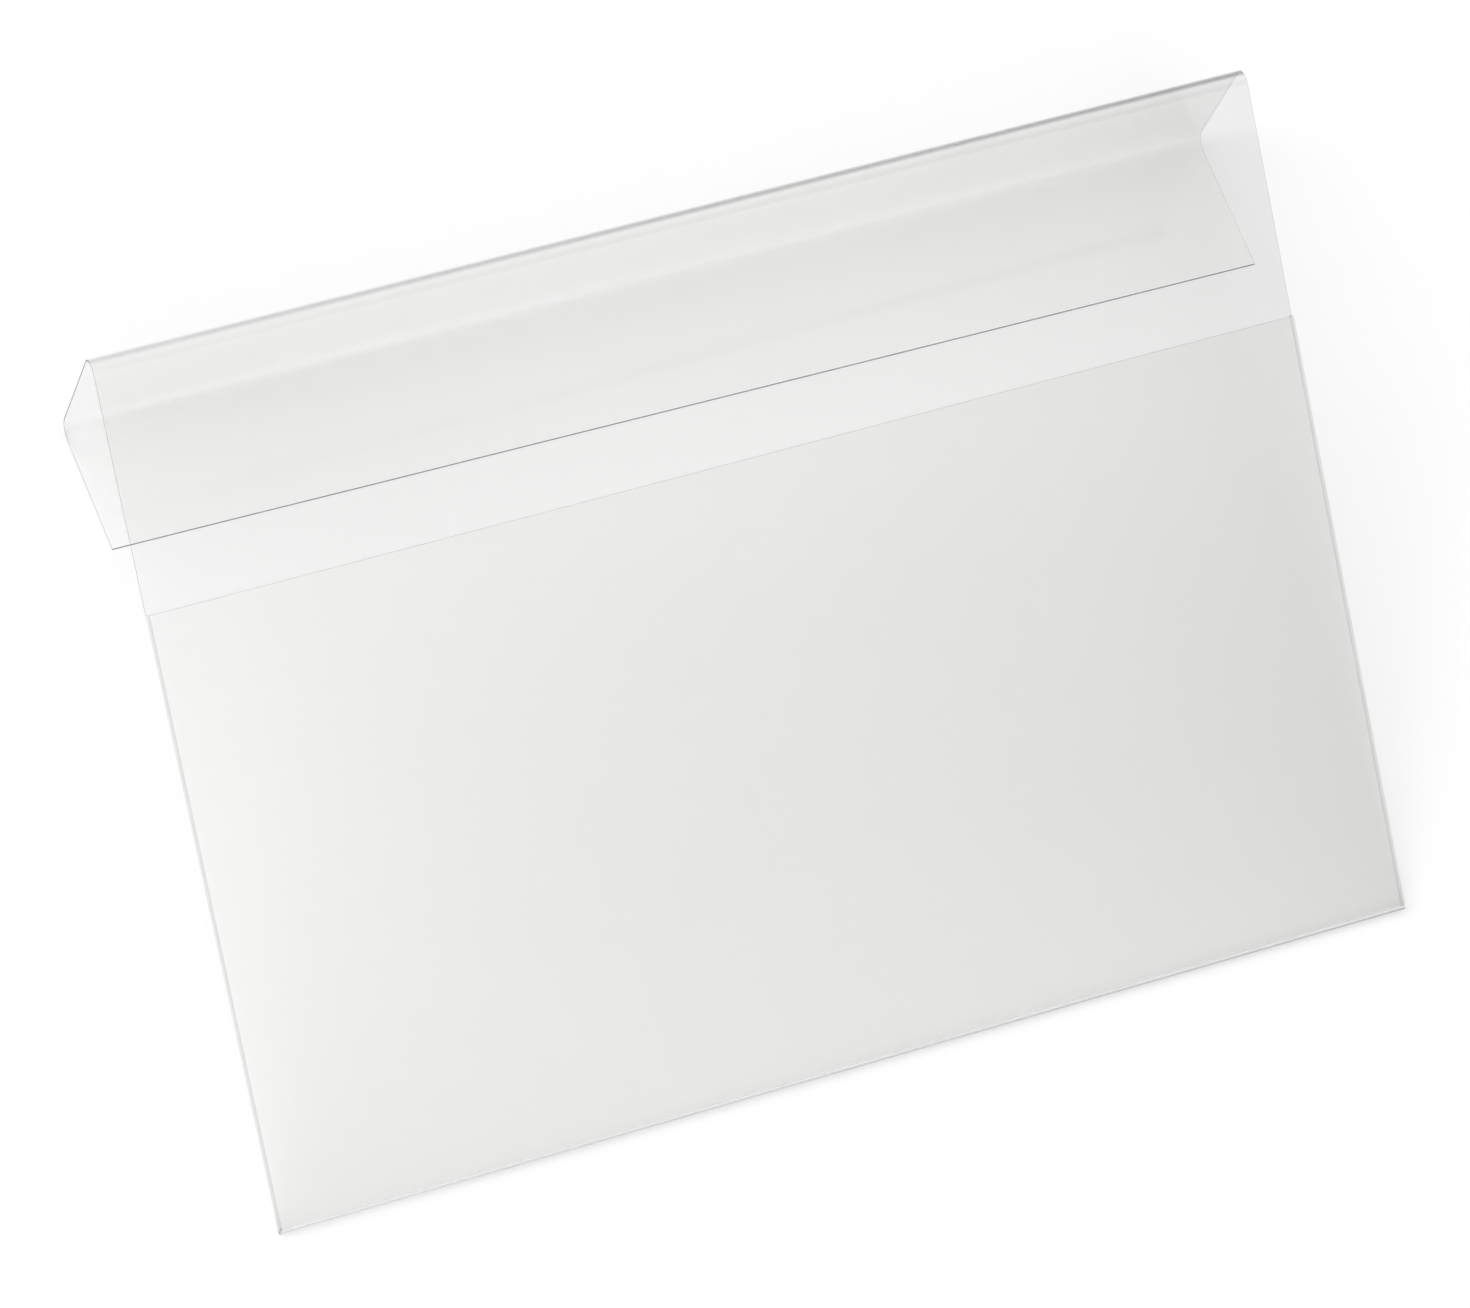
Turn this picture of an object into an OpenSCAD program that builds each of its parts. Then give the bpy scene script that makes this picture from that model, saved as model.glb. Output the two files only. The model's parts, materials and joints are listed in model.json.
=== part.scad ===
// Rigid clear document sleeve with a hanging fold, made from one blank of stiff film.
// The blank is turned up at the bottom into a pocket, welded down both sides, and turned
// over to the back at the top into a springy two-part flap that hooks over the wall of a bin.
// The sleeve lies on its back, as it is put down on a table: it rests on the bottom fold and
// on the crease of the flap, so its front leans. X runs across it, Y up it, and Z is up.

/* [Sleeve] */
// Width across both side welds
sleeve_w = 311; // [150:1:460]
// Height from the bottom fold to the crest of the top fold
sleeve_h = 220.5; // [180:0.5:330]
// Height of the front sheet, from the bottom fold to the pocket's mouth
pocket_h = 157; // [60:1:200]
// Thickness of the film
film_t = 0.4; // [0.2:0.05:0.8]
// Clear gap inside the pocket, for the papers
pocket_gap = 1; // [0.6:0.1:3]
// Width of the bead that welds the front sheet to the back sheet
weld_w = 0.6; // [0.4:0.1:1.6]

/* [Hanging flap] */
// Straight length of the upper flap, from the top fold to the crease
upper_flap_l = 34; // [28:0.5:50]
// Straight length of the lower flap, from the crease to its cut edge
lower_flap_l = 33; // [10:0.5:45]
// Angle between the upper flap and the header, in degrees
flap_angle = 61; // [52:1:80]
// Bend of the crease, in degrees
crease_bend = 96; // [40:1:110]
// Inside radius of the top fold
top_fold_r = 2.8; // [1:0.1:5]
// Inside radius of the crease
crease_r = 3.8; // [1:0.1:6]
// Gap between a fold and the leg that turns on it, which leaves the leg free to move
hinge_gap = 0.1; // [0.05:0.05:0.3]

/* [Hidden] */
$fn = 96;

film_colour = [0.93, 0.94, 0.94, 0.45];
fold_colour = [0.82, 0.83, 0.84, 0.55];
weld_colour = [0.86, 0.87, 0.88, 0.6];

// Points in a section across the sleeve are [v, n]: v is up the back sheet from the bottom
// fold, and n is out of its front, from the middle of its thickness.

// Bottom fold: a half round that joins the two sheets
bottom_r = pocket_gap / 2;
bottom_outer_r = bottom_r + film_t;
bottom_centre = [bottom_outer_r, film_t / 2 + bottom_r];
sheet_v = bottom_outer_r;
front_n = film_t / 2 + pocket_gap;
pocket_t = 2 * film_t + pocket_gap;

// Top fold: from the header's end, over the crest and down the back
top_mid_r = top_fold_r + film_t / 2;
header_end_v = sleeve_h - top_mid_r - film_t / 2;
top_centre = [header_end_v, -top_mid_r];

// A flap's heading is the angle that it runs at, from straight down towards the back.
function heading(angle) = [-cos(angle), -sin(angle)];
function on_circle(centre, radius, angle) = centre + radius * [cos(angle), sin(angle)];
lower_angle = flap_angle - crease_bend;
upper_start = on_circle(top_centre, top_mid_r, flap_angle - 90);
upper_end = upper_start + upper_flap_l * heading(flap_angle);

// Crease: turns the flap in again, so that its edge springs towards the header
crease_mid_r = crease_r + film_t / 2;
crease_outer_r = crease_r + film_t;
crease_centre = on_circle(upper_end, crease_mid_r, flap_angle + 90);
lower_start = on_circle(crease_centre, crease_mid_r, lower_angle - 90);

// The table touches the bottom fold and the crease, which sets how far the sleeve leans.
rest_span = crease_centre - bottom_centre;
lean = asin((crease_outer_r - bottom_outer_r) / norm(rest_span)) - atan2(rest_span[1], rest_span[0]);

// Where a section point lies along the table, and above it, once the sleeve leans
function along(p) = p[0] * cos(lean) - p[1] * sin(lean);
function above(p) = p[0] * sin(lean) + p[1] * cos(lean);
y_low = along(bottom_centre) - bottom_outer_r;
y_high = along(top_centre) + top_mid_r + film_t / 2;
y_mid = (y_low + y_high) / 2;
z_lift = bottom_outer_r - above(bottom_centre);

// Lays the sleeve on the table: its children are drawn with Y up the back sheet and Z out of it.
module laid() {
    translate([0, -y_mid, z_lift]) rotate([lean, 0, 0]) children();
}

// A flat stretch of film of one width, from a section point on the middle of its thickness
module flat_film(start, angle, width, length) {
    translate([0, start[0], start[1]])
        rotate([angle, 0, 0])
            translate([-width / 2, 0, -film_t / 2])
                cube([width, length, film_t]);
}

// A bent stretch of film across the whole width. Angles are from up the sleeve towards its front.
module bent_film(centre, inner_r, from, bend) {
    translate([-sleeve_w / 2, centre[0], centre[1]])
        rotate([90, 0, 90])
            rotate([0, 0, from])
                rotate_extrude(angle = bend)
                    translate([inner_r, 0]) square([film_t, sleeve_w]);
}

// Back wall of the pocket, between the side welds
module back_sheet() {
    color(film_colour)
        laid() flat_film([sheet_v, 0], 0, sleeve_w - 2 * weld_w, pocket_h - sheet_v);
}

// Front wall of the pocket. Its upper edge is the mouth where the papers go in.
module front_sheet() {
    color(film_colour)
        laid() flat_film([sheet_v, front_n + film_t / 2], 0, sleeve_w - 2 * weld_w, pocket_h - sheet_v);
}

// Half-round fold where the blank is turned up, open at both ends
module bottom_fold() {
    color(fold_colour)
        laid() bent_film(bottom_centre, bottom_r, 90, 180);
}

// Bead of melted film down one side of the pocket, with its two outer corners rounded
module side_weld() {
    corner_r = weld_w / 2;
    translate([0, pocket_h, -film_t / 2])
        rotate([90, 0, 0])
            linear_extrude(pocket_h - sheet_v) {
                square([corner_r, pocket_t]);
                translate([0, corner_r]) square([weld_w, pocket_t - weld_w]);
                for (height = [corner_r, pocket_t - corner_r])
                    translate([corner_r, height]) circle(corner_r);
            }
}

module left_side_weld() {
    color(weld_colour)
        laid() translate([weld_w - sleeve_w / 2, 0, 0]) mirror([1, 0, 0]) side_weld();
}

module right_side_weld() {
    color(weld_colour)
        laid() translate([sleeve_w / 2 - weld_w, 0, 0]) side_weld();
}

// Single sheet above the pocket's mouth, which the top of a paper leans on
module header() {
    color(film_colour)
        laid() flat_film([pocket_h, 0], 0, sleeve_w, header_end_v - pocket_h);
}

// Rounded living hinge at the crest, where the blank turns over to the back
module top_fold() {
    color(fold_colour)
        laid() bent_film(top_centre, top_fold_r, flap_angle - 90, 180 - flap_angle);
}

// A leg of the hook, clear of the fold that it turns on
module leg(start, angle, length) {
    color(film_colour)
        laid() flat_film(start + hinge_gap * heading(angle), 180 + angle, sleeve_w, length - hinge_gap);
}

// First leg of the hook, out and down from the crest
module upper_flap() {
    leg(upper_start, flap_angle, upper_flap_l);
}

// Rounded living hinge between the two legs. The sleeve rests on it.
module flap_crease() {
    color(fold_colour)
        laid() bent_film(crease_centre, crease_r, lower_angle - 90, crease_bend);
}

// Second leg of the hook, back in towards the header
module lower_flap() {
    leg(lower_start, lower_angle, lower_flap_l);
}

back_sheet();
front_sheet();
bottom_fold();
left_side_weld();
right_side_weld();
header();
top_fold();
upper_flap();
flap_crease();
lower_flap();
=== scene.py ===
"""Looks of a rigid clear document sleeve, which lies on its back on a white table. Sizes are in metres."""
import json
import math

import bpy
from mathutils import Matrix, Vector


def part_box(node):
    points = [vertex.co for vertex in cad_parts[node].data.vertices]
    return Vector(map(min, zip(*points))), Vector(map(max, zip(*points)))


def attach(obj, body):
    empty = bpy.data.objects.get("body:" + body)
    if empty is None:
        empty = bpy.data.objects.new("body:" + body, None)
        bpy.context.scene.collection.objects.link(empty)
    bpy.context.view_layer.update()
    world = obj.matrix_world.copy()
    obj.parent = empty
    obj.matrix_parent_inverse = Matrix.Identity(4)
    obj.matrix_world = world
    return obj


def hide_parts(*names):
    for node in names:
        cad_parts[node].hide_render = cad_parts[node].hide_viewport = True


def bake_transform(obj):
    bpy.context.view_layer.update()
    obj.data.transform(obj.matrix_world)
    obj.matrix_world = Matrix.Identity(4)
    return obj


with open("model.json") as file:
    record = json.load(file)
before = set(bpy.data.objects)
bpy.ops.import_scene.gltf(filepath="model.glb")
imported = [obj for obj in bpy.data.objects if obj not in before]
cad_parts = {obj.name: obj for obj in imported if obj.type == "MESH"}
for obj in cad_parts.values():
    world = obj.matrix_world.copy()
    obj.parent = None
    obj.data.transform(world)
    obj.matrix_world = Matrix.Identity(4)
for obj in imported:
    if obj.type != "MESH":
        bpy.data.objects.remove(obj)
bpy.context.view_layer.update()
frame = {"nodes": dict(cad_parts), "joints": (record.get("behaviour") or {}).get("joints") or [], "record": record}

# Film blank
# The pocket and its header are one blank of stiff clear film, die cut and turned up at the bottom.
# From the mouth it runs down the front, round the bottom fold, up the back and over the crest.
# Its folds are pressed warm so that they stay.


class Wire:
    """A value on its way through a node tree. Python operators on it add Math nodes."""

    def __init__(self, tree, socket=None):
        self.tree = tree
        self.socket = socket

    def node(self, kind, inputs=None, settings=None, output=0):
        """Adds a node, then sets its settings and its inputs, and gives one of its outputs."""
        made = self.tree.nodes.new(kind)
        for name, value in (settings or {}).items():
            setattr(made, name, value)
        for name, value in (inputs or {}).items():
            if isinstance(value, Wire):
                self.tree.links.new(value.socket, made.inputs[name])
            else:
                made.inputs[name].default_value = value
        return Wire(self.tree, made.outputs[output] if made.outputs else None)

    def math(self, operation, *others):
        values = dict(enumerate((self, *others)))
        return self.node("ShaderNodeMath", values, {"operation": operation})

    def part(self, axis):
        """One part of a vector: X, Y or Z."""
        return self.node("ShaderNodeSeparateXYZ", {"Vector": self}, output=axis)

    def moved(self, step):
        """A vector with another one added."""
        return self.node("ShaderNodeVectorMath", {0: self, 1: step})

    def scaled(self, amount):
        """A vector times a value."""
        return self.node("ShaderNodeVectorMath", {0: self, "Scale": amount}, {"operation": "SCALE"})

    def clouds(self, per_metre, detail):
        """Clouds from 0 to 1 at this place."""
        return self.node("ShaderNodeTexNoise", {"Vector": self, "Scale": per_metre, "Detail": detail})

    def waves(self, per_metre, seed):
        """Plain waves from 0 to 1 at this place, other ones for each seed."""
        inputs = {"Vector": self, "W": seed, "Scale": per_metre, "Detail": 1.0}
        return self.node("ShaderNodeTexNoise", inputs, {"noise_dimensions": "4D"})

    def kept(self, kind, field):
        """This geometry with a field's value kept on its points, and that value."""
        capture = self.tree.nodes.new("GeometryNodeCaptureAttribute")
        capture.capture_items.new(kind, "Kept")
        self.tree.links.new(self.socket, capture.inputs["Geometry"])
        self.tree.links.new(field.socket, capture.inputs["Kept"])
        return Wire(self.tree, capture.outputs["Geometry"]), Wire(self.tree, capture.outputs["Kept"])

    def finished(self, material):
        """This geometry shaded smooth, made real and put in a material."""
        smooth = self.node("GeometryNodeSetShadeSmooth", {"Geometry": self})
        real = self.node("GeometryNodeRealizeInstances", {"Geometry": smooth})
        return self.node("GeometryNodeSetMaterial", {"Geometry": real, "Material": material})

    def __add__(self, other):
        return self.math("ADD", other)

    def __sub__(self, other):
        return self.math("SUBTRACT", other)

    def __rsub__(self, other):
        return (self * -1).math("ADD", other)

    def __mul__(self, other):
        return self.math("MULTIPLY", other)

    def __pow__(self, other):
        return self.math("POWER", other)

    __radd__ = __add__
    __rmul__ = __mul__


def blank_material(name):
    """A new material with an empty tree, and a wire to build it with."""
    material = bpy.data.materials.new(name)
    material.use_nodes = True
    material.node_tree.nodes.clear()
    return material, Wire(material.node_tree)


FILM_CLEAR = (0.9905, 0.9905, 0.989, 1)
FILM_GRAZED = (0.50, 0.50, 0.50, 1)
FILM_MIRROR = (1, 1, 1, 1)
FILM_ROUGHNESS = 0.09
GRAZE_POWER = 12
FACE_REFLECTANCE = 0.04
REFLECTANCE_POWER = 5
CLOUDS_PER_METRE = 14.0
ROUGH_LEAST = 0.7
ROUGH_CLOUDED = 0.6
MARK_LEAST = 0.8
MARK_CLOUDED = 0.4
# Painted highlight: a white, rough mix on the front of the bottom fold stands in for the bright line that fold
# shows
HIGHLIGHT_WHITE = (0.95, 0.95, 0.95, 1)
HIGHLIGHT_ROUGHNESS = 0.5
# Painted shade: a transparent grey that darkens the folds, the flap's upper leg and the film's ends, more towards
# the right
SHADE_GREY = (0.50, 0.50, 0.50, 1)
SHADE_TILT = 0.5
# Painted shade towards the film's ends is strongest at the right end
RIGHT_END_MORE = 1.3
RIGHT_END_POWER = 8
half_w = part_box("header")[1][0]


def film_finish(name, clear_tint, grazed_tint, roughness):
    """Polished film: a face mirrors as plastic does, and passes little where it is seen along."""
    material, wire = blank_material(name)
    place = wire.node("ShaderNodeTexCoord", output="Object")
    cloud = place.clouds(CLOUDS_PER_METRE, detail=3.0)
    facing = wire.node("ShaderNodeLayerWeight", {"Blend": 0.5}, output="Facing")

    def mark(kind):
        return wire.node("ShaderNodeAttribute", settings={"attribute_name": kind}, output="Fac")

    straight_through = wire.node("ShaderNodeBsdfTransparent", {"Color": clear_tint})
    along_film = wire.node("ShaderNodeBsdfTransparent", {"Color": grazed_tint})
    passed = wire.node(
        "ShaderNodeMixShader", {0: facing**GRAZE_POWER, 1: straight_through, 2: along_film}
    )
    clouded = roughness * (ROUGH_LEAST + ROUGH_CLOUDED * cloud)
    polish = wire.node(
        "ShaderNodeBsdfPrincipled",
        {"Base Color": FILM_MIRROR, "Metallic": 1.0, "Roughness": clouded},
    )
    mirror = FACE_REFLECTANCE + (1 - FACE_REFLECTANCE) * facing**REFLECTANCE_POWER
    mirror = mirror * (1 - mark("matte"))
    film = wire.node("ShaderNodeMixShader", {0: mirror, 1: passed, 2: polish})
    # Painted highlight where a row is marked for it, patchy with the clouds
    patchy = MARK_LEAST + MARK_CLOUDED * cloud
    painted_highlight = wire.node(
        "ShaderNodeBsdfPrincipled", {"Base Color": HIGHLIGHT_WHITE, "Roughness": HIGHLIGHT_ROUGHNESS}
    )
    film = wire.node("ShaderNodeMixShader", {0: mark("stress") * patchy, 1: film, 2: painted_highlight})

    # Painted shade: a transparent grey darkens the folds and the flap's upper leg, more towards the right, for
    # their dark edge-on look and the shade on them, and darkens the film towards its two ends, most at the right
    # one
    across = place.part("X") * (1 / half_w)
    toward_ends = across * across * (1 + RIGHT_END_MORE * across.math("MAXIMUM", 0.0) ** RIGHT_END_POWER)
    painted_shade_amount = mark("pressed") * patchy * (1 + SHADE_TILT * across) + mark("handled") * toward_ends
    painted_grey = wire.node("ShaderNodeBsdfTransparent", {"Color": SHADE_GREY})
    film = wire.node("ShaderNodeMixShader", {0: painted_shade_amount, 1: film, 2: painted_grey})
    wire.node("ShaderNodeOutputMaterial", {"Surface": film})
    return material


polished_film = film_finish("polished_film", FILM_CLEAR, FILM_GRAZED, FILM_ROUGHNESS)

# Cut edges are painted dark grey, a painted stand-in for the dark line a clear film's cut edge shows; at the
# film's right end they are painted nearly clear, as they look there seen through the film
CUT_CLEAR = (0.92, 0.92, 0.92, 1)
CUT_GREY = (0.14, 0.14, 0.14, 1)
NICKS_PER_METRE = 900.0
CUT_ROUGH_LEAST = 0.25
CUT_ROUGH_NICKED = 0.3
CUT_GREY_LEAST = 0.7
CUT_GREY_NICKED = 0.3
RIGHT_ENDS_CLEAR = 0.85
RIGHT_ENDS_BAND = 0.0003
cut_edge, wire = blank_material("cut_edge")
place = wire.node("ShaderNodeTexCoord", output="Object")
nicks = place.clouds(NICKS_PER_METRE, detail=2.0)
glint = wire.node("ShaderNodeBsdfTransparent", {"Color": CUT_CLEAR})
dark_edge_paint = wire.node(
    "ShaderNodeBsdfPrincipled",
    {"Base Color": CUT_GREY, "Roughness": CUT_ROUGH_LEAST + CUT_ROUGH_NICKED * nicks},
)
right_ends_clear = RIGHT_ENDS_CLEAR * place.part("X").math("GREATER_THAN", half_w - RIGHT_ENDS_BAND)
shown = (CUT_GREY_LEAST + CUT_GREY_NICKED * nicks) * (1 - right_ends_clear)
edge = wire.node("ShaderNodeMixShader", {0: shown, 1: glint, 2: dark_edge_paint})
wire.node("ShaderNodeOutputMaterial", {"Surface": edge})


def named_tree(name, inputs, result):
    """A new geometry tree with named inputs and one result, and a wire from each input."""
    tree = bpy.data.node_groups.new(name, "GeometryNodeTree")
    for label, kind in inputs.items():
        tree.interface.new_socket(label, in_out="INPUT", socket_type="NodeSocket" + kind)
    tree.interface.new_socket(result, in_out="OUTPUT", socket_type="NodeSocketGeometry")
    entry = tree.nodes.new("NodeGroupInput")
    return tree, {label: Wire(tree, entry.outputs[label]) for label in inputs}


BELLY_POWER = 3
CUT_ROWS = 0.75


def sweep_tree():
    """Geometry nodes that sweep a section across the sleeve, and let the film ripple and belly."""
    inputs = {
        "Section": "Geometry",
        "Columns": "Int",
        "Up": "Vector",
        "Ripple": "Float",
        "Ripples per Metre": "Float",
        "Seed": "Float",
        "Film": "Material",
        "Cut Edge": "Material",
    }
    tree, given = named_tree("film_sweep", inputs, "Sheet")
    wire = Wire(tree)
    place = wire.node("GeometryNodeInputPosition")

    def row(name):
        return wire.node("GeometryNodeInputNamedAttribute", {"Name": name}, {"data_type": "FLOAT"})

    section, row_place = given["Section"].kept("VECTOR", place)
    section = wire.node("GeometryNodeMeshToCurve", {"Mesh": section})
    line = wire.node("GeometryNodeCurvePrimitiveLine", {"Start": (-1, 0, 0), "End": (1, 0, 0)})
    line = wire.node("GeometryNodeResampleCurve", {"Curve": line, "Count": given["Columns"]})
    line, across = line.kept("FLOAT", place.part("X"))
    sheet = wire.node("GeometryNodeCurveToMesh", {"Curve": line, "Profile Curve": section})

    # Each point goes to its row's place, out to its row's width, and up by its row's skew
    width = wire.node("ShaderNodeCombineXYZ", {"X": row("half_width") * across})
    skew = given["Up"].scaled(row("skew") * across)
    spot = row_place.moved(width).moved(skew)
    sheet = wire.node("GeometryNodeSetPosition", {"Geometry": sheet, "Position": spot})

    # Ripples and belly stand off the sheet, and die away at a weld
    ripple = place.waves(given["Ripples per Metre"], given["Seed"])
    inside = 1 - across.math("ABSOLUTE") ** BELLY_POWER
    free = 1 - row("held") * (1 - inside)
    swell = free * given["Ripple"] * row("slack") * (ripple - 0.5) + inside * row("belly")
    swell = wire.node("GeometryNodeInputNormal").scaled(swell)
    sheet = wire.node("GeometryNodeSetPosition", {"Geometry": sheet, "Offset": swell})
    sheet = sheet.finished(given["Film"])
    cut = row("cut").math("GREATER_THAN", CUT_ROWS)
    sheet = wire.node(
        "GeometryNodeSetMaterial",
        {"Geometry": sheet, "Selection": cut, "Material": given["Cut Edge"]},
    )
    wire.node("NodeGroupOutput", {"Sheet": sheet})
    return tree


film_sweep = sweep_tree()

scene = bpy.context.scene
SHARP_ANGLE = math.radians(40)


def made_by(tree, start, name, values, wall=0.0):
    """The piece that a tree makes of a starting mesh, as a plain mesh, with a wall if it has one."""
    maker = bpy.data.objects.new(start.name, start)
    scene.collection.objects.link(maker)
    making = maker.modifiers.new("making", "NODES")
    making.node_group = tree
    for socket in tree.interface.items_tree:
        if socket.name in values:
            making[socket.identifier] = values[socket.name]
    if wall:
        shell = maker.modifiers.new("wall", "SOLIDIFY")
        shell.thickness = wall
        shell.offset = 0
        shell.use_even_offset = True
        shell.material_offset_rim = 1
    made = maker.evaluated_get(bpy.context.evaluated_depsgraph_get())
    piece = bpy.data.objects.new(name, bpy.data.meshes.new_from_object(made))
    piece.data.set_sharp_from_angle(angle=SHARP_ANGLE)
    scene.collection.objects.link(piece)
    bpy.data.objects.remove(maker)
    return piece


back_face = next(mount for mount in frame["record"]["mounts"] if mount["name"] == "back_face")
out = -Vector(back_face["axis"])
up = Vector((0, out.z, -out.y))
x_axis = Vector((1, 0, 0))
lean = math.atan2(up.z, up.y)
joints = {joint["name"]: joint for joint in frame["joints"]}


def reach(node, direction):
    """Where a CAD node starts and ends along a direction."""
    along = [vertex.co.dot(direction) for vertex in frame["nodes"][node].data.vertices]
    return min(along), max(along)


def bend_radius(node, joint):
    """Radius of the middle of a folded strip about its joint."""
    centre = Vector(joint["pos_m"])
    from_centre = [vertex.co.yz - centre.yz for vertex in frame["nodes"][node].data.vertices]
    return (min(r.length for r in from_centre) + max(r.length for r in from_centre)) / 2


def on_bend(centre, radius, angle):
    """Point of a fold, by its angle from +Y towards +Z."""
    return centre + radius * Vector((0, math.cos(angle), math.sin(angle)))


back_n, front_n = (sum(reach(sheet, out)) / 2 for sheet in ("back_sheet", "front_sheet"))
film_t = reach("back_sheet", out)[1] - reach("back_sheet", out)[0]
pocket_half_w = reach("back_sheet", x_axis)[1]
pocket_low, mouth = reach("front_sheet", up)
header_top = reach("header", up)[1]
mouth_edge = up * mouth + out * front_n
front_low = up * pocket_low + out * front_n
back_low = up * pocket_low + out * back_n
header_low = up * mouth + out * back_n
header_end = up * header_top + out * back_n
bottom_r = (front_n - back_n) / 2
bottom_centre = up * pocket_low + out * ((front_n + back_n) / 2)
top_joint = joints["top_fold_bend"]
top_centre = Vector(top_joint["pos_m"])
top_r = bend_radius("top_fold", top_joint)
front_angle = lean + math.pi / 2
top_end_angle = front_angle - math.radians(top_joint["range_deg"][1])
crest_end = on_bend(top_centre, top_r, top_end_angle)

ROW_STEP = 0.004
FOLD_ROWS = 14
PRESS_MARGIN = 0.0004


def flat_rows(start, end):
    """Points a row step apart from start up to end, without the end, with a close one at each end."""
    length = (end - start).length
    count = round(length / ROW_STEP)
    along = [i * length / count for i in range(count)]
    along = [0, PRESS_MARGIN] + along[1:] + [length - PRESS_MARGIN]
    return [start.lerp(end, distance / length) for distance in along]


def fold_rows(centre, radius, first, last):
    """Points round a fold from its first angle up to its last, without the last, each with its share."""
    shares = [i / FOLD_ROWS for i in range(FOLD_ROWS)]
    return [(share, on_bend(centre, radius, first + (last - first) * share)) for share in shares]


def film_row(point, half_width, **more):
    """A row of film: its place and half width, and its slack, marks and so on where it has any."""
    return {"place": point, "half_width": half_width, **more}


COLUMNS = 90
RIPPLE = 0.0006
RIPPLES_PER_METRE = 9.0


def swept_film(name, rows, seed):
    """A sheet of film swept from its rows."""
    section = bpy.data.meshes.new(name + "_section")
    section.from_pydata([row["place"] for row in rows], [(i, i + 1) for i in range(len(rows) - 1)], [])
    marks = ("stress", "pressed", "handled", "matte", "cut")
    for key in ("half_width", "skew", "slack", "held", "belly", *marks):
        values = section.attributes.new(key, "FLOAT", "POINT")
        values.data.foreach_set("value", [row.get(key, 0.0) for row in rows])
    section.materials.append(polished_film)
    section.materials.append(cut_edge)
    values = {
        "Columns": COLUMNS,
        "Up": up,
        "Ripple": RIPPLE,
        "Ripples per Metre": RIPPLES_PER_METRE,
        "Seed": seed,
        "Film": polished_film,
        "Cut Edge": cut_edge,
    }
    return made_by(film_sweep, section, name, values, wall=film_t)


def ramp(value, start, end):
    """How far a value has gone from start to end, from 0 to 1."""
    return min(1, max(0, (value - start) / (end - start)))


def bump(value, middle, half_length):
    """1 in the middle of a stretch, and 0 at its ends and past them."""
    return max(0, 1 - abs(value - middle) / half_length)


def length_share(point, start, end):
    return (point - start).length / (end - start).length


def pocket_share(point):
    return (point.dot(up) - pocket_low) / (mouth - pocket_low)


BELLY_AT = 0.4
MOUTH_LOOSE = 0.2


def looseness(point):
    """How far the pocket's film stands off at a height: not at the fold, and most at the belly."""
    share = pocket_share(point)
    if share < BELLY_AT:
        return math.sin(max(share, 0) / BELLY_AT * math.pi / 2)
    past_belly = (share - BELLY_AT) / (1 - BELLY_AT)
    return (1 + MOUTH_LOOSE) / 2 + (1 - MOUTH_LOOSE) / 2 * math.cos(past_belly * math.pi)


CREST_SHADE = 0.4
CREST_LEAST = 0.1
CREST_RISE = (0.36, 0.5)
CREST_FALL = 0.7


def crest_shade(share):
    """How much painted shade the crest gets round its fold, for its dark edge-on look: more and more from the
    header, then less.
    """
    rise = max(CREST_LEAST, ramp(share, *CREST_RISE))
    fall = 1 - ramp(share, CREST_FALL, 1)
    return CREST_SHADE * min(rise, fall)


FRONT_BELLY = 0.0016
BACK_BELLY = -0.0009
BACK_SLACK = 0.5
# Painted shade towards the film's ends, strongest near the mouth
MOUTH_END_SHADE = 0.03
END_SHADE_SHARE = 0.4
END_SHADE_LEAST = 0.5
BOTTOM_HIGHLIGHT = 0.8
HIGHLIGHT_BAND = (0.05, 0.12)
BOTTOM_SHADE = 0.5
BOTTOM_SHADE_BAND = (0.5, 0.4)
HEADER_END_SHADE = 0.033
HEADER_LOW_SLACK = 0.4
HEADER_MIDDLE_SLACK = 0.6
rows = []
for point in flat_rows(mouth_edge, front_low):
    loose = looseness(point)
    handled = MOUTH_END_SHADE * max(END_SHADE_LEAST, ramp(pocket_share(point), 1 - END_SHADE_SHARE, 1))
    rows.append(film_row(
        point, pocket_half_w, slack=loose, held=1.0, belly=FRONT_BELLY * loose, handled=handled
    ))
# The bottom fold gets a painted highlight at its front and painted shade round its outside
for share, point in fold_rows(bottom_centre, bottom_r, front_angle, front_angle + math.pi):
    white = BOTTOM_HIGHLIGHT * bump(share, *HIGHLIGHT_BAND)
    fold_shade = BOTTOM_SHADE * bump(share, *BOTTOM_SHADE_BAND)
    rows.append(film_row(point, half_w, stress=white, pressed=fold_shade))
for point in flat_rows(back_low, header_low):
    loose = looseness(point)
    rows.append(film_row(
        point, pocket_half_w, slack=BACK_SLACK * loose, held=1.0, belly=BACK_BELLY * loose
    ))
for point in flat_rows(header_low, header_end):
    share = length_share(point, header_low, header_end)
    slack = HEADER_LOW_SLACK * (1 - share) + HEADER_MIDDLE_SLACK * math.sin(share * math.pi)
    rows.append(film_row(point, half_w, slack=slack, handled=HEADER_END_SHADE))
for share, point in fold_rows(top_centre, top_r, front_angle, top_end_angle):
    rows.append(film_row(point, half_w, pressed=crest_shade(share), handled=HEADER_END_SHADE))
rows.append(film_row(crest_end, half_w))
film_blank = swept_film("film_blank", rows, seed=3.0)

# The pocket's sides run into the welds, so they show no cut edge
WELD_MARGIN = 0.00005
UNCUT = 0
for face in film_blank.data.polygons:
    if abs(abs(face.center.x) - pocket_half_w) < WELD_MARGIN:
        face.material_index = UNCUT
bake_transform(film_blank)
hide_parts("front_sheet", "bottom_fold", "back_sheet", "header", "top_fold")

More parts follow.
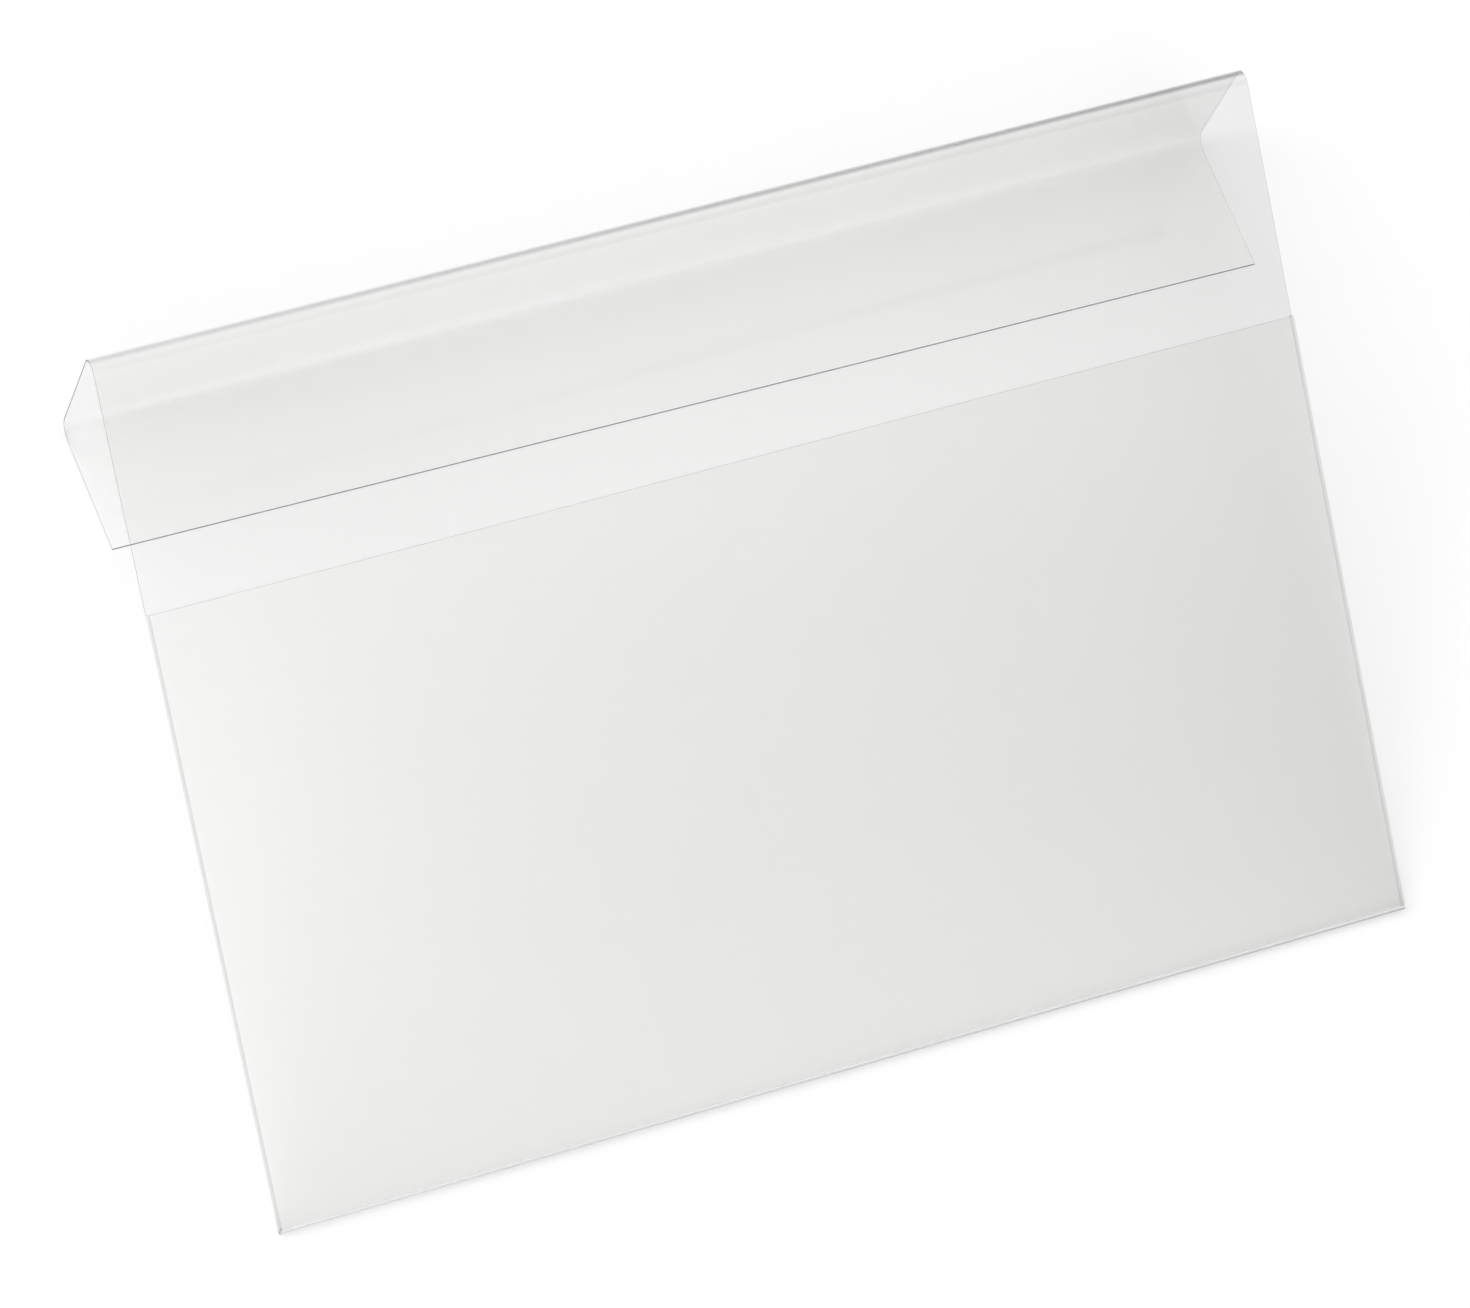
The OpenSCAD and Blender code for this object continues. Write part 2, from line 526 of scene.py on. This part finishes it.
# Side welds
# A hot wire cuts the front and back in one pass and melts them together. That leaves a fine clear
# bead down each side of the pocket, a little lumpy where the wire slowed.
BEAD_CLEAR = (0.895, 0.895, 0.893, 1)
BEAD_GRAZED = (0.60, 0.60, 0.60, 1)
BEAD_ROUGHNESS = 0.14
BEAD_SQUARENESS = 0.6
BEAD_LUMP = 0.00006
BEAD_LUMPS_PER_METRE = 260.0
BEAD_STEPS = 160
BEAD_SIDES = 16
melted_bead = film_finish("melted_bead", BEAD_CLEAR, BEAD_GRAZED, BEAD_ROUGHNESS)


def bead_tree():
    """Geometry nodes that run a round-edged bead along a line, with lumps."""
    inputs = {
        "Line": "Geometry",
        "Steps": "Int",
        "Sides": "Int",
        "Across": "Vector",
        "Through": "Vector",
        "Lump": "Float",
        "Lumps per Metre": "Float",
        "Seed": "Float",
        "Bead": "Material",
    }
    tree, given = named_tree("weld_bead_run", inputs, "Weld")
    wire = Wire(tree)
    place = wire.node("GeometryNodeInputPosition")
    line = wire.node("GeometryNodeMeshToCurve", {"Mesh": given["Line"]})
    line = wire.node("GeometryNodeResampleCurve", {"Curve": line, "Count": given["Steps"]})
    line, along = line.kept("VECTOR", place)
    circle = wire.node("GeometryNodeCurvePrimitiveCircle", {"Resolution": given["Sides"], "Radius": 1.0})
    circle, around = circle.kept("VECTOR", place)
    bead = wire.node(
        "GeometryNodeCurveToMesh", {"Curve": line, "Profile Curve": circle, "Fill Caps": True}
    )

    # A circle squared off a little follows the bead's flattened section
    def squared(value):
        return value.math("SIGN") * value.math("ABSOLUTE") ** BEAD_SQUARENESS

    sideways = given["Across"].scaled(squared(around.part("X")))
    inwards = given["Through"].scaled(squared(around.part("Y")))
    spot = sideways.moved(inwards).moved(along)
    bead = wire.node("GeometryNodeSetPosition", {"Geometry": bead, "Position": spot})

    # Lumps go inwards only, so that the bead stays within its size
    lumps = place.waves(given["Lumps per Metre"], given["Seed"])
    lump = wire.node("GeometryNodeInputNormal").scaled(given["Lump"] * (lumps - 1))
    bead = wire.node("GeometryNodeSetPosition", {"Geometry": bead, "Offset": lump})
    wire.node("NodeGroupOutput", {"Weld": bead.finished(given["Bead"])})
    return tree


weld_run = bead_tree()
for node, seed in (("left_side_weld", 1.0), ("right_side_weld", 2.0)):
    left, right = reach(node, x_axis)
    low, high = reach(node, up)
    behind, ahead = reach(node, out)
    middle = x_axis * ((left + right) / 2) + out * ((behind + ahead) / 2)
    line = bpy.data.meshes.new(node + "_line")
    line.from_pydata([middle + up * low, middle + up * high], [(0, 1)], [])
    values = {
        "Steps": BEAD_STEPS,
        "Sides": BEAD_SIDES,
        "Across": x_axis * ((right - left) / 2),
        "Through": out * ((ahead - behind) / 2),
        "Lump": BEAD_LUMP,
        "Lumps per Metre": BEAD_LUMPS_PER_METRE,
        "Seed": seed,
        "Bead": melted_bead,
    }
    bead = made_by(weld_run, line, node + "_bead", values)
    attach(bead, "sleeve")
    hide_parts(node)

# Hanging flap
# The rest of the blank hangs behind the header: a leg down from the crest, a crease, and a leg that
# springs back in and grips the wall that the sleeve hangs on. Its end is the blank's other cut edge.
LEG_SLACK = 0.6
LEG_SHADE = 0.04
FLAP_END_SHADE = 0.008
CREASE_MATTE = (0.25, 0.55)
EDGE_SKEW = -0.00135
CUT_BAND = 0.00012
SEAM_GAP = 0.00004
crease_joint = joints["flap_crease_bend"]
crease_centre = Vector(crease_joint["pos_m"])
crease_r = bend_radius("flap_crease", crease_joint)
crease_end_angle = top_end_angle - math.radians(crease_joint["range_deg"][1])
crease_start = on_bend(crease_centre, crease_r, top_end_angle)
crease_end = on_bend(crease_centre, crease_r, crease_end_angle)
upper_way = (crease_start - crest_end).normalized()
lower_way = Vector((0, math.sin(crease_end_angle), -math.cos(crease_end_angle)))
leg_l = reach("lower_flap", lower_way)[1] - crease_end.dot(lower_way)
flap_edge = crease_end + lower_way * leg_l
# The last strip of the flap's face also takes the cut edge's paint, a painted dark line along the flap's edge
dark_edge_band = [flap_edge - lower_way * CUT_BAND, flap_edge]
rows = []
# The upper leg and the start of the crease get an even painted shade
for point in flat_rows(crest_end + upper_way * SEAM_GAP, crease_start):
    slack = LEG_SLACK * math.sin(length_share(point, crest_end, crease_start) * math.pi)
    rows.append(film_row(point, half_w, slack=slack, pressed=LEG_SHADE))
for share, point in fold_rows(crease_centre, crease_r, top_end_angle, crease_end_angle):
    matte = ramp(share, *CREASE_MATTE)
    rows.append(film_row(point, half_w, pressed=LEG_SHADE * (1 - matte), matte=matte))
for point in flat_rows(crease_end, dark_edge_band[0]) + dark_edge_band:
    share = length_share(point, crease_end, flap_edge)
    rows.append(film_row(point, half_w, skew=EDGE_SKEW * share, slack=share, cut=float(point in dark_edge_band)))
# The whole flap gets a little painted shade towards its ends
for row in rows:
    row["handled"] = FLAP_END_SHADE
hanging_flap = swept_film("hanging_flap", rows, seed=7.0)

# The blank runs on past the end of the crest, so neither film shows a cut edge there
for film in (film_blank, hanging_flap):
    for face in film.data.polygons:
        if abs((face.center - crest_end).dot(upper_way)) < 2 * SEAM_GAP:
            face.material_index = UNCUT
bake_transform(hanging_flap)
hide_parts("upper_flap", "flap_crease", "lower_flap")

# Table
# A plain white painted table top, which takes the sleeve's soft shadow.
TABLE_WHITE = (0.99, 0.99, 0.99, 1)
TABLE_HALF = 4.0
TABLE_DROP = 0.0002
corners = [(x * TABLE_HALF, y * TABLE_HALF, -TABLE_DROP) for x, y in ((-1, -1), (1, -1), (1, 1), (-1, 1))]
table_mesh = bpy.data.meshes.new("table")
table_mesh.from_pydata(corners, [], [(0, 1, 2, 3)])
table = bpy.data.objects.new("table", table_mesh)
scene.collection.objects.link(table)
table_white, wire = blank_material("table_white")
paint = wire.node("ShaderNodeBsdfDiffuse", {"Color": TABLE_WHITE})
wire.node("ShaderNodeOutputMaterial", {"Surface": paint})
table_mesh.materials.append(table_white)

# Light
# A white tent stands round the table. Its walls are even, and its roof is brightest at the left and
# the back and dark at the right, which the film mirrors. To the camera the tent is plain white.
# A soft key, low at the back left, gives the shadow.
TENT_WALL = 0.71
ROOF_FADE = (0.35, 0.75)
TENT_MIDDLE = 0.91
TENT_RIGHT = 0.0
RIGHT_FADE = (0.25, 0.41)
TENT_LEFT = 1.29
LEFT_FADE = (0.12, -0.05)
TENT_BACK = 1.21
BACK_FADE = (0.2, 0.6)
FRONT_MORE = 0.165
FRONT_FADE = (-0.37, -0.46)
BACKDROP = 1
tent = bpy.data.worlds.new("tent")
tent.use_nodes = True
tent.node_tree.nodes.clear()
wire = Wire(tent.node_tree)
way = wire.node("ShaderNodeTexCoord", output="Generated")
rightwards, backwards, upwards = (way.part(axis) for axis in ("X", "Y", "Z"))


def fade(value, span):
    """How far a value has gone through a span, from 0 to 1."""
    ends = {"From Min": span[0], "From Max": span[1]}
    return wire.node("ShaderNodeMapRange", {"Value": value, **ends})


def between(first, second, share):
    """A value that goes from the first to the second as its share goes from 0 to 1."""
    return first + share * (second - first)


glow = between(TENT_MIDDLE, TENT_RIGHT, fade(rightwards, RIGHT_FADE))
glow = between(glow, TENT_LEFT, fade(rightwards, LEFT_FADE))
glow = between(glow, TENT_BACK, fade(backwards, BACK_FADE))
glow = glow + fade(backwards, FRONT_FADE) * FRONT_MORE
glow = between(TENT_WALL, glow, fade(upwards, ROOF_FADE))
glow = between(glow, BACKDROP, wire.node("ShaderNodeLightPath", output="Is Camera Ray"))
cloth = wire.node("ShaderNodeBackground", {"Color": (1, 1, 1, 1), "Strength": glow})
wire.node("ShaderNodeOutputWorld", {"Surface": cloth})
scene.world = tent

KEY_STRENGTH = 1.29
KEY_ANGLE = math.radians(40)
KEY_WAY = Vector((0.80, -0.47, -0.37))
key_lamp = bpy.data.lights.new("key", "SUN")
key_lamp.energy = KEY_STRENGTH
key_lamp.angle = KEY_ANGLE
key = bpy.data.objects.new("key", key_lamp)
key.rotation_euler = KEY_WAY.to_track_quat("-Z", "Y").to_euler()
key.visible_glossy = False
scene.collection.objects.link(key)

# Camera
# It looks down on the sleeve from the left, rolled so that the sleeve climbs to the right.
CAMERA_PLACE = Vector((-0.70033, 0.02477, 2.00311))
CAMERA_AIM = Vector((-0.00248, -0.00072, 0))
CAMERA_ROLL = math.radians(14.899)
LENS_MM = 207.2
SENSOR_MM = 36
FARTHEST_SEEN = 50
CLEAR_FACES_SEEN_THROUGH = 64
forward = (CAMERA_AIM - CAMERA_PLACE).normalized()
level = forward.cross(Vector((0, 1, 0))).normalized()
rightward = level * math.cos(CAMERA_ROLL) + forward.cross(level) * math.sin(CAMERA_ROLL)
turned = Matrix((rightward, rightward.cross(forward), -forward)).transposed()
camera_data = bpy.data.cameras.new("camera")
camera_data.lens = LENS_MM
camera_data.sensor_width = SENSOR_MM
camera_data.sensor_fit = "HORIZONTAL"
camera_data.clip_end = FARTHEST_SEEN
camera = bpy.data.objects.new("camera", camera_data)
camera.matrix_world = Matrix.Translation(CAMERA_PLACE) @ turned.to_4x4()
scene.collection.objects.link(camera)
scene.camera = camera
scene.view_settings.view_transform = "Standard"
scene.cycles.transparent_max_bounces = CLEAR_FACES_SEEN_THROUGH
